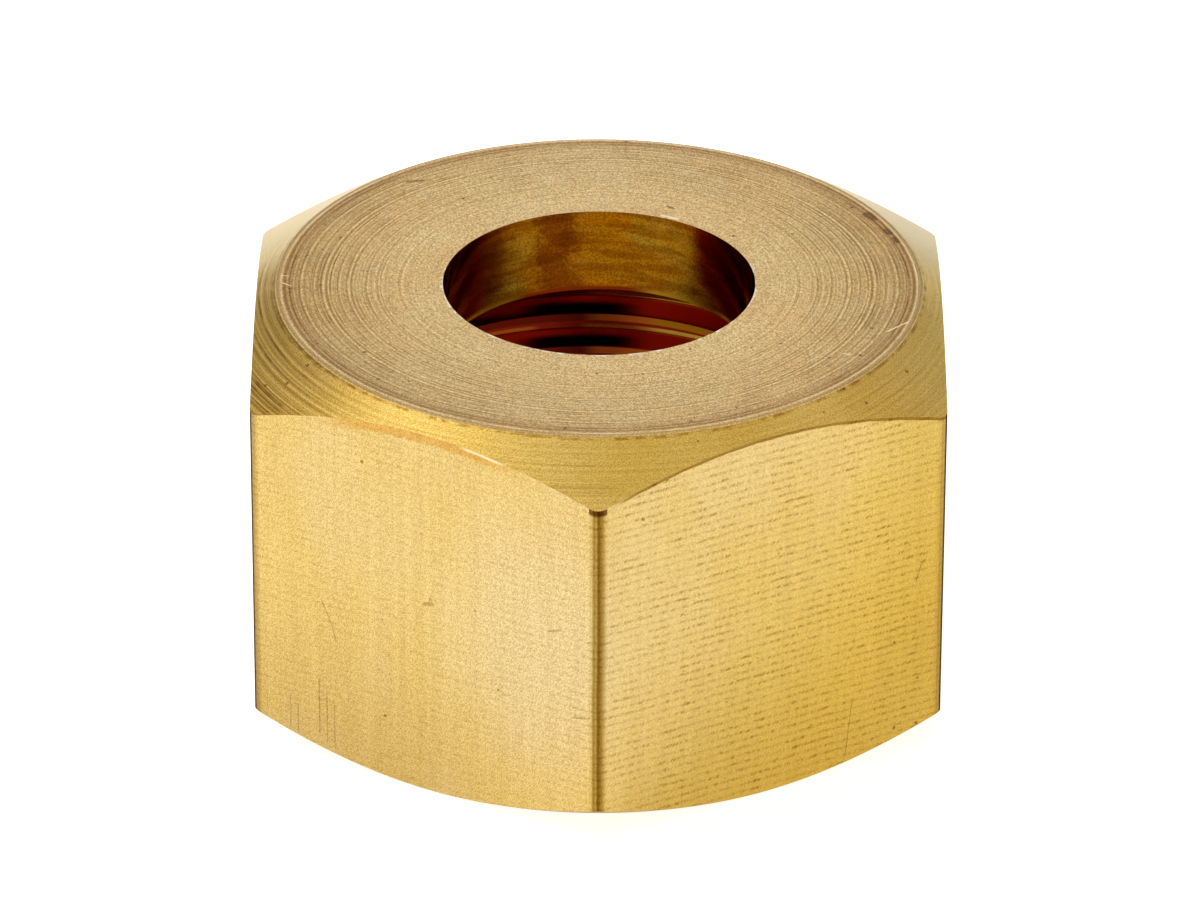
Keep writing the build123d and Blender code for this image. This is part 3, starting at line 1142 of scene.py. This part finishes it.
glow = add_node(tree, "Emission")
feed(glow.inputs["Strength"], plus(times(strength, open_table), times(under_hole, HOLE_GLOW)))
paint = work_out("BsdfDiffuse", [mix(open_table, PAINT_UNDER, PAINT_OPEN)])
both = work_out("AddShader", [paint.outputs[0], glow.outputs[0]])
feed(add_node(tree, "OutputMaterial").inputs["Surface"], both.outputs[0])
floor.data.materials.append(floor_look)
print(f"table {FLOOR_SIZE} m wide, {FLOOR_GAP / MM} mm below the nut")

# %% [markdown]
# ## The room
# Round the table stands a white backdrop, and above it the room is a dim, slightly warm grey. The
# backdrop fills the low directions, so the metal mirrors white from the sides and the calmer room
# from above. Only the height of a direction matters, so a ramp on its Z colours the whole world.

# %% Room
ROOM = [
    (0.0, (0.92, 0.92, 0.90)), (0.14, (0.75, 0.72, 0.62)), (0.30, (0.42, 0.38, 0.28)),
    (0.6, (0.56, 0.49, 0.35)), (0.78, (0.72, 0.62, 0.42)), (1.0, (0.74, 0.65, 0.42)),
]
world = bpy.data.worlds.new("studio")
bpy.context.scene.world = world
world.use_nodes = True
tree = world.node_tree
tree.nodes.clear()
upward = split(add_node(tree, "TexCoord").outputs["Generated"])[2]
room = work_out("Background", [ramp(upward, ROOM)])
backdrop = add_node(tree, "Background")
backdrop.inputs["Color"].default_value = (1, 1, 1, 1)
seen = add_node(tree, "LightPath").outputs["Is Camera Ray"]
choice = work_out("MixShader", [seen, room.outputs[0], backdrop.outputs[0]])
feed(add_node(tree, "OutputWorld").inputs["Surface"], choice.outputs[0])
print(len(ROOM), "steps of colour from the horizon up")

# %% [markdown]
# ## The lamps
# Two soft boxes hang over the table and show in the metal. The one high on the left gives the
# bright patch on the left of the cone, and the one behind lights the top face. A soft box shows in
# metal at its own brightness, so its power is worked out from that. A third, stronger box on the
# left is hidden from reflections. It lights the table alone, and so gives the nut its shadow.

# %% Lamps
def add_softbox(name, direction, distance, side, brightness):
    """A square soft box that faces the nut, and shows in it at a plain brightness."""
    lamp = bpy.data.lights.new(name, "AREA")
    lamp.shape = "RECTANGLE"
    lamp.size = lamp.size_y = side
    lamp.energy = 4 * brightness * side * side
    box = bpy.data.objects.new(name, lamp)
    bpy.context.collection.objects.link(box)
    aim = Vector(direction).normalized()
    box.location = aim * distance + Vector((0, 0, HEIGHT / 2))
    box.rotation_euler = aim.to_track_quat("Z", "Y").to_euler()
    print(f"{name}: {lamp.energy:.3f} W, {side / MM:.0f} mm square")
    return box


add_softbox("left_box", (-0.45, 0.19, 0.87), distance=0.5, side=0.22, brightness=0.78)
add_softbox("back_box", (0.0, 0.85, 0.50), distance=0.6, side=0.26, brightness=0.60)
shadow_box = add_softbox("shadow_box", (-0.72, 0.20, 0.62), distance=0.5, side=0.2, brightness=8)
shadow_box.visible_glossy = False

# %% [markdown]
# ## The camera
# The camera looks down on a corner of the nut with a long lens, from about twenty times the nut's
# height away, so that upright edges stay nearly parallel. It leans by a fraction of a degree, as a
# hand-set tripod does. A small shift moves the nut to its place in the frame and changes no angle.

# %% Camera
LENS = 259.9
ELEVATION = radians(28.559)
DISTANCE = 344.71 * MM
LEAN = radians(0.185)
back = Vector((0, -cos(ELEVATION), sin(ELEVATION)))
right = Vector((1, 0, 0))
up = back.cross(right)
camera_data = bpy.data.cameras.new("camera")
camera_data.sensor_width = 36
camera_data.lens = LENS
camera_data.clip_start = 0.01
camera_data.clip_end = 10
camera_data.shift_x = 0.0013
camera_data.shift_y = 0.0118
camera = bpy.data.objects.new("camera", camera_data)
bpy.context.collection.objects.link(camera)
turn = Matrix((right, up, back)).transposed() @ Matrix.Rotation(LEAN, 3, "Z")
camera.matrix_world = Matrix.Translation(Vector((0, 0, HEIGHT / 2)) + back * DISTANCE) @ turn.to_4x4()
bpy.context.scene.camera = camera
bpy.context.scene.view_settings.view_transform = "Standard"
print(f"camera {DISTANCE / HEIGHT:.0f} heights away, lens {LENS} mm")
